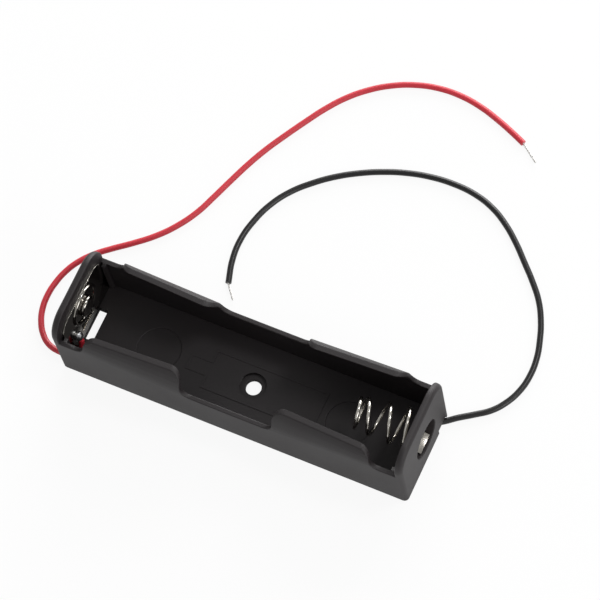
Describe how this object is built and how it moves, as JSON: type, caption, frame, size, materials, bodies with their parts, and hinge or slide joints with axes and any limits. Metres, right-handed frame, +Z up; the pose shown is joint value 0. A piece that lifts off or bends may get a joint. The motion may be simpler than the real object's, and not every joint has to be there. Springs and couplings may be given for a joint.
{
  "type": "cylindrical cell holder",
  "caption": "Open-top moulded holder for a cylindrical cell, with a button contact, a coil spring contact, gripping side walls and two wire leads.",
  "frame": {"origin": "middle of the housing's underside, on the table that the holder and its leads lie on", "axes": "+X along the housing towards the spring contact, +Y towards the side that the leads lie on, +Z up out of the open top"},
  "size_m": [0.1005, 0.0869, 0.0196],
  "materials": {
    "housing_plastic": "black moulded plastic, satin",
    "contact_plate": "nickel-plated spring steel strip",
    "spring_wire": "nickel-plated spring wire",
    "solder": "dull tin solder",
    "red_insulation": "red flexible insulation",
    "black_insulation": "black flexible insulation",
    "tinned_strands": "tinned copper strands"
  },
  "bodies": {
    "holder": {"housing": "housing_plastic", "positive_contact": "contact_plate", "positive_solder": "solder", "red_lead": "red_insulation", "red_lead_tip": "tinned_strands", "negative_contact": "contact_plate", "negative_solder": "solder", "black_lead": "black_insulation", "black_lead_tip": "tinned_strands"},
    "spring": {"negative_spring": "spring_wire"}
  },
  "joints": [
    {"name": "spring_compression", "type": "slide", "parent": "holder", "child": "spring", "axis": [1, 0, 0], "range_m": [0, 0.0065], "stiffness_N_per_m": 1100, "deforming": ["negative_spring"]}
  ]
}
